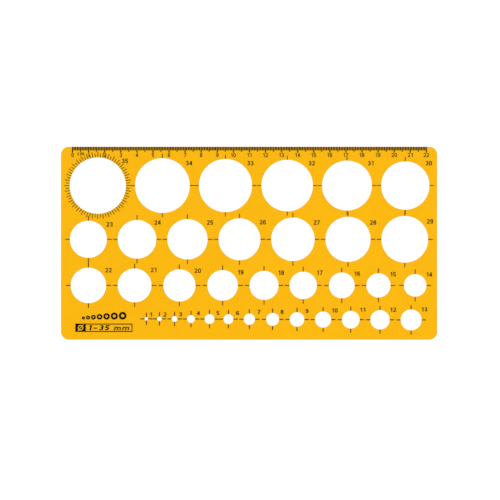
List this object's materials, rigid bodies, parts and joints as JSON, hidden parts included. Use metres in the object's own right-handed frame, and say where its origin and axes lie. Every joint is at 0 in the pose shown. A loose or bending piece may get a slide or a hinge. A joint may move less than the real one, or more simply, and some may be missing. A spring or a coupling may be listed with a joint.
{
  "type": "circle template",
  "caption": "Flat drawing template of transparent amber plastic with round holes of graded size, a ruler edge, a degree ring and printed centre marks",
  "frame": {"origin": "centre of the underside of the sheet, midway between its long edges and its short edges", "axes": "+X along the long side towards the 22 cm end of the ruler, +Y across the sheet towards the ruler edge, +Z out of the printed face"},
  "size_m": [0.234, 0.12, 0.0012],
  "materials": {
    "amber_plastic": "transparent amber acrylic sheet, smooth and glossy, with deeper orange cut edges",
    "black_ink": "thin black screen-printed ink, slightly satin"
  },
  "bodies": {
    "root": {"template_plate": "amber_plastic", "ruler_scale": "black_ink", "ruler_unit_mark": "black_ink", "degree_ring": "black_ink", "centre_marks_top_row": "black_ink", "centre_marks_upper_row": "black_ink", "centre_marks_lower_row": "black_ink", "centre_marks_bottom_row": "black_ink", "size_figure_01": "black_ink", "size_figure_02": "black_ink", "size_figure_03": "black_ink", "size_figure_04": "black_ink", "size_figure_05": "black_ink", "size_figure_06": "black_ink", "size_figure_07": "black_ink", "size_figure_08": "black_ink", "size_figure_09": "black_ink", "size_figure_10": "black_ink", "size_figure_11": "black_ink", "size_figure_12": "black_ink", "size_figure_13": "black_ink", "size_figure_14": "black_ink", "size_figure_15": "black_ink", "size_figure_16": "black_ink", "size_figure_17": "black_ink", "size_figure_18": "black_ink", "size_figure_19": "black_ink", "size_figure_20": "black_ink", "size_figure_21": "black_ink", "size_figure_22": "black_ink", "size_figure_23": "black_ink", "size_figure_24": "black_ink", "size_figure_25": "black_ink", "size_figure_26": "black_ink", "size_figure_27": "black_ink", "size_figure_28": "black_ink", "size_figure_29": "black_ink", "size_figure_30": "black_ink", "size_figure_31": "black_ink", "size_figure_32": "black_ink", "size_figure_33": "black_ink", "size_figure_34": "black_ink", "size_figure_35": "black_ink", "size_range_emblem": "black_ink", "label_block": "black_ink", "label_frame": "black_ink"}
  },
  "joints": []
}
